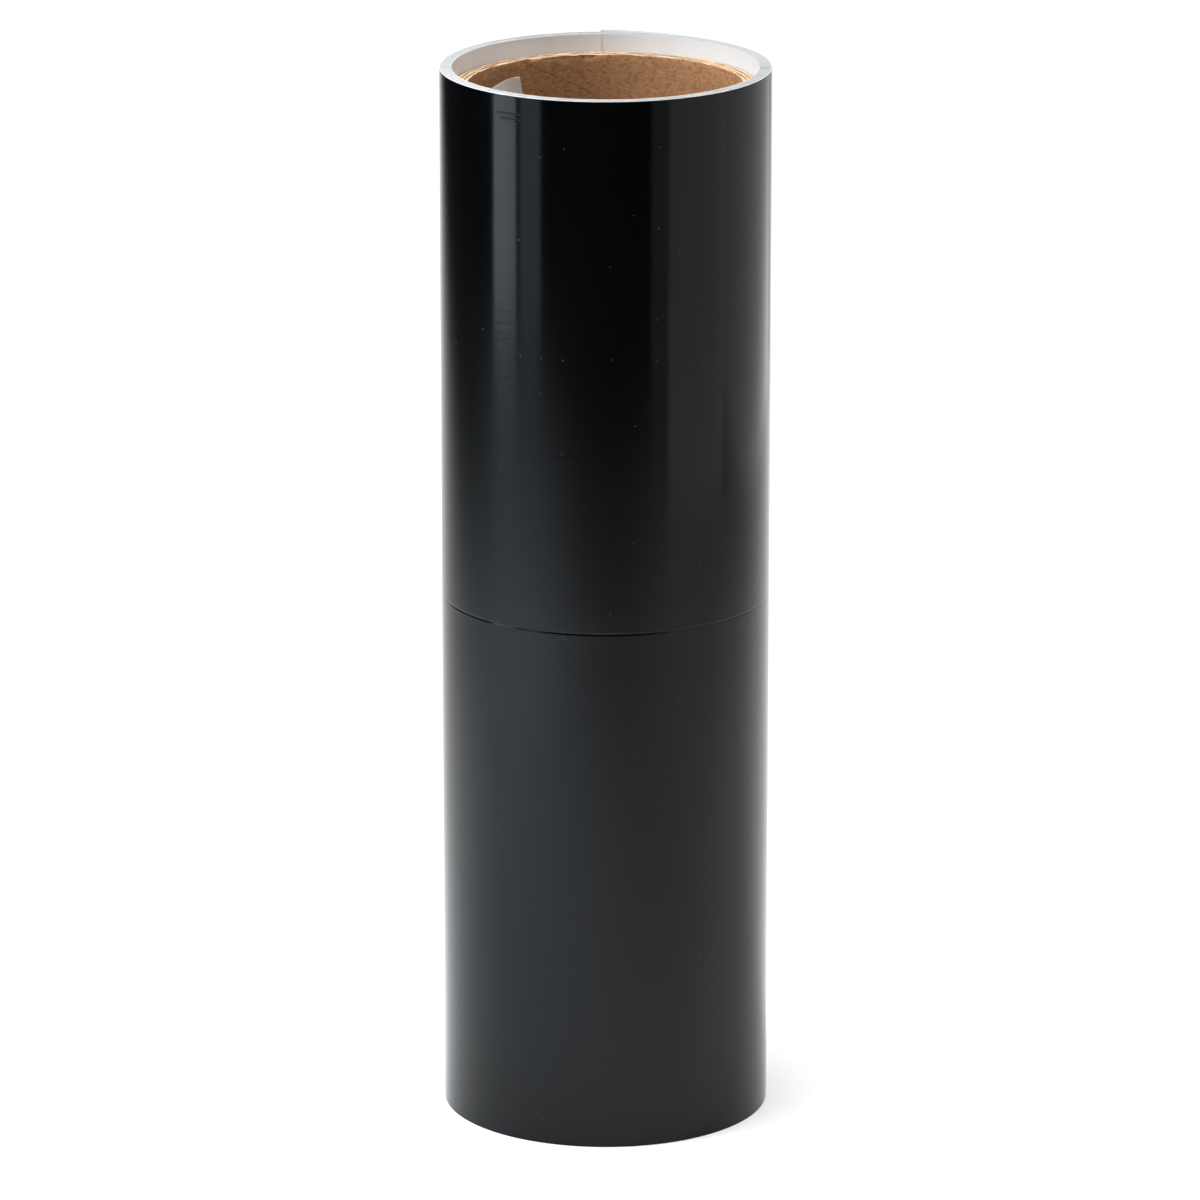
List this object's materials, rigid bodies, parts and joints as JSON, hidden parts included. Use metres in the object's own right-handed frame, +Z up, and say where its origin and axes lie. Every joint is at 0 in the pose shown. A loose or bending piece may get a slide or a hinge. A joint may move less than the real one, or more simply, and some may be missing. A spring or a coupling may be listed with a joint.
{
  "type": "roll of sign vinyl",
  "caption": "Roll of black sign vinyl on a white release liner, wound film side out on a paper core, with a taped free end that lifts and a core that pushes out.",
  "frame": {"origin": "centre of the roll's lower end, on the surface it stands on", "axes": "+Z up along the axis of the core and the winding, +Y towards the free end of the web, +X to the right seen from the front"},
  "size_m": [0.0933, 0.0936, 0.3048],
  "materials": {
    "core_board": "matte kraft paperboard, lighter and fuzzy on its cut ends",
    "label_paper": "blank matte label paper",
    "start_tape": "double-sided tape",
    "wound_laps": "cut edges of white liner and black film, pressed into one ring",
    "release_liner": "smooth coated white paper",
    "vinyl_film": "black calendered film, satin gloss with faint orange peel",
    "end_tape": "translucent frosted tape"
  },
  "bodies": {
    "winding": {"outer_laps": "wound_laps", "last_lap_liner": "release_liner", "last_lap_film": "vinyl_film"},
    "core": {"core_ply_1": "core_board", "core_ply_2": "core_board", "core_ply_3": "core_board", "core_ply_4": "core_board", "core_ply_5": "core_board", "core_ply_6": "core_board", "core_label": "label_paper", "start_tape": "start_tape", "inner_laps": "wound_laps"},
    "laps_1": {"lap_bundle_1": "wound_laps"},
    "laps_2": {"lap_bundle_2": "wound_laps"},
    "laps_3": {"lap_bundle_3": "wound_laps"},
    "laps_4": {"lap_bundle_4": "wound_laps"},
    "laps_5": {"lap_bundle_5": "wound_laps"},
    "tail_root": {"tail_root_liner": "release_liner", "tail_root_film": "vinyl_film"},
    "tail_end": {"tail_end_liner": "release_liner", "tail_end_film": "vinyl_film"},
    "film_flap": {"film_end": "vinyl_film", "tape_held": "end_tape"},
    "tape_tab": {"tape_free": "end_tape"}
  },
  "joints": [
    {"name": "core_push", "type": "slide", "parent": "winding", "child": "core", "axis": [0, 0, 1], "range_m": [0, 0.054]},
    {"name": "laps_1_slide", "type": "slide", "parent": "winding", "child": "laps_1", "axis": [0, 0, 1], "range_m": [0, 0.0451]},
    {"name": "laps_2_slide", "type": "slide", "parent": "winding", "child": "laps_2", "axis": [0, 0, 1], "range_m": [0, 0.0361]},
    {"name": "laps_3_slide", "type": "slide", "parent": "winding", "child": "laps_3", "axis": [0, 0, 1], "range_m": [0, 0.0271]},
    {"name": "laps_4_slide", "type": "slide", "parent": "winding", "child": "laps_4", "axis": [0, 0, 1], "range_m": [0, 0.0181]},
    {"name": "laps_5_slide", "type": "slide", "parent": "winding", "child": "laps_5", "axis": [0, 0, 1], "range_m": [0, 0.0091]},
    {"name": "tail_lift", "type": "hinge", "parent": "winding", "child": "tail_root", "pos_m": [0.03974, 0.02464, 0.1524], "axis": [0, 0, -1], "range_deg": [0, 35], "stiffness_Nm_per_rad": 0.02},
    {"name": "tail_uncurl", "type": "hinge", "parent": "tail_root", "child": "tail_end", "pos_m": [0.02211, 0.04123, 0.1524], "axis": [0, 0, -1], "range_deg": [0, 35], "stiffness_Nm_per_rad": 0.02},
    {"name": "film_peel", "type": "hinge", "parent": "tail_end", "child": "film_flap", "pos_m": [0.01069, 0.04555, 0.1524], "axis": [0, 0, -1], "range_deg": [0, 120]},
    {"name": "tab_peel", "type": "hinge", "parent": "film_flap", "child": "tape_tab", "pos_m": [-0.00179, 0.04663, 0.1524], "axis": [0, 0, -1], "range_deg": [0, 100]}
  ],
  "couplings": [
    {"joint": "laps_1_slide", "follows": "core_push", "ratio": 0.83333},
    {"joint": "laps_2_slide", "follows": "core_push", "ratio": 0.66667},
    {"joint": "laps_3_slide", "follows": "core_push", "ratio": 0.5},
    {"joint": "laps_4_slide", "follows": "core_push", "ratio": 0.33333},
    {"joint": "laps_5_slide", "follows": "core_push", "ratio": 0.16667},
    {"joint": "tail_uncurl", "follows": "tail_lift", "ratio": 1}
  ]
}
